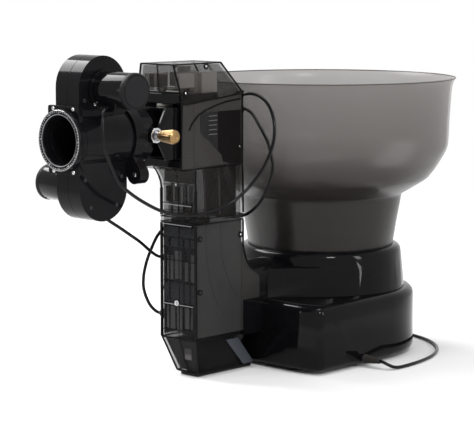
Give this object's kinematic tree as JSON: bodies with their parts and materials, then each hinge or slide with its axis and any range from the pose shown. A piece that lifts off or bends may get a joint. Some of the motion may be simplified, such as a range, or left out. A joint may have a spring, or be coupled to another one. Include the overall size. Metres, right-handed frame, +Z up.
{
  "type": "table tennis robot",
  "caption": "Free-standing table tennis ball thrower: open ball bowl on a round base, hollow clear column, and a swinging two-wheel throwing head.",
  "frame": {"origin": "centre of the box's bottom face, on the surface the robot stands on", "axes": "+Z up, -Y the way the balls are thrown, +X the robot's left"},
  "size_m": [0.2778, 0.499, 0.318],
  "materials": {
    "gloss_black": "polished black moulding",
    "satin_black": "satin black moulding",
    "smoke_clear": "smoked clear moulding",
    "frosted_smoke": "frosted smoke-grey moulding",
    "rubber": "soft black rubber",
    "brass": "turned brass",
    "steel": "plated steel",
    "grey_plastic": "light grey moulding",
    "board": "green circuit board",
    "tyre": "grippy wheel tyre",
    "cord": "black insulated lead"
  },
  "bodies": {
    "stand": {"base_housing": "gloss_black", "base_collar": "gloss_black", "base_plate": "satin_black", "ball_deflector": "satin_black", "turret_platform": "satin_black", "turret_cap": "satin_black", "power_plug": "satin_black", "lower_shell_left": "smoke_clear", "lower_shell_right": "smoke_clear", "upper_shell_left": "smoke_clear", "upper_shell_right": "smoke_clear", "lower_duct_front": "smoke_clear", "lower_duct_rear": "smoke_clear", "upper_duct_front": "smoke_clear", "ball_bowl": "frosted_smoke", "front_foot_left": "rubber", "front_foot_right": "rubber", "rear_foot_left": "rubber", "rear_foot_right": "rubber", "chin_pad": "rubber", "hood_gland_upper": "rubber", "hood_gland_lower": "rubber", "column_gland_upper": "rubber", "column_gland_lower": "rubber", "cord_grommet": "rubber", "swing_motor": "grey_plastic", "feed_motor": "grey_plastic", "control_board": "board", "upper_motor_lead": "cord", "column_lead": "cord", "lower_motor_lead": "cord", "power_cord": "cord", "power_cord_coil": "cord"},
    "feed": {"feed_disc": "satin_black", "agitator": "satin_black", "feed_shaft": "steel"},
    "swing": {"swing_bracket": "gloss_black", "swing_sector": "grey_plastic", "swing_lower_pin": "steel"},
    "swing_drive": {"swing_pinion": "brass"},
    "tilt": {"rear_barrel": "gloss_black", "clamp_ring": "gloss_black", "tilt_washer": "steel", "tilt_rivet": "steel"},
    "thumb_screw": {"tilt_thumb_screw": "brass"},
    "clamp_screw": {"clamp_screw": "steel"},
    "head": {"head_shell_left": "gloss_black", "head_shell_right": "gloss_black", "muzzle_plate": "satin_black", "muzzle_ring": "satin_black", "upper_motor": "gloss_black", "lower_motor": "gloss_black"},
    "upper_wheel": {"upper_motor_shaft": "steel", "upper_wheel_hub": "grey_plastic", "upper_wheel_tyre": "tyre"},
    "lower_wheel": {"lower_motor_shaft": "steel", "lower_wheel_hub": "grey_plastic", "lower_wheel_tyre": "tyre"}
  },
  "joints": [
    {"name": "feed_turn", "type": "hinge", "parent": "stand", "child": "feed", "pos_m": [0, 0.11065, 0.056], "axis": [0, 0, 1], "continuous": true},
    {"name": "head_swing", "type": "hinge", "parent": "stand", "child": "swing", "pos_m": [0, -0.11535, 0.242], "axis": [0, 0, 1], "range_deg": [-18, 18], "deforming": ["upper_motor_lead", "lower_motor_lead"]},
    {"name": "swing_pinion_turn", "type": "hinge", "parent": "stand", "child": "swing_drive", "pos_m": [0, -0.0899, 0.281], "axis": [0, 0, 1], "range_deg": [-76, 76]},
    {"name": "head_tilt", "type": "hinge", "parent": "swing", "child": "tilt", "pos_m": [0, -0.15185, 0.242], "axis": [1, 0, 0], "range_deg": [-22, 22], "deforming": ["upper_motor_lead", "lower_motor_lead"]},
    {"name": "thumb_screw_turn", "type": "hinge", "parent": "tilt", "child": "thumb_screw", "pos_m": [0, -0.15185, 0.242], "axis": [1, 0, 0], "range_deg": [-180, 180]},
    {"name": "clamp_screw_turn", "type": "hinge", "parent": "tilt", "child": "clamp_screw", "pos_m": [0.02504, -0.16935, 0.20754], "axis": [0, 1, 0], "range_deg": [-180, 180]},
    {"name": "head_spin", "type": "hinge", "parent": "tilt", "child": "head", "pos_m": [0, -0.18935, 0.242], "axis": [0, 1, 0], "range_deg": [-90, 90], "deforming": ["upper_motor_lead", "lower_motor_lead"]},
    {"name": "upper_wheel_turn", "type": "hinge", "parent": "head", "child": "upper_wheel", "pos_m": [0, -0.20955, 0.287], "axis": [1, 0, 0], "continuous": true},
    {"name": "lower_wheel_turn", "type": "hinge", "parent": "head", "child": "lower_wheel", "pos_m": [0, -0.20955, 0.197], "axis": [1, 0, 0], "continuous": true}
  ],
  "couplings": [
    {"joint": "swing_pinion_turn", "follows": "head_swing", "ratio": -4}
  ]
}
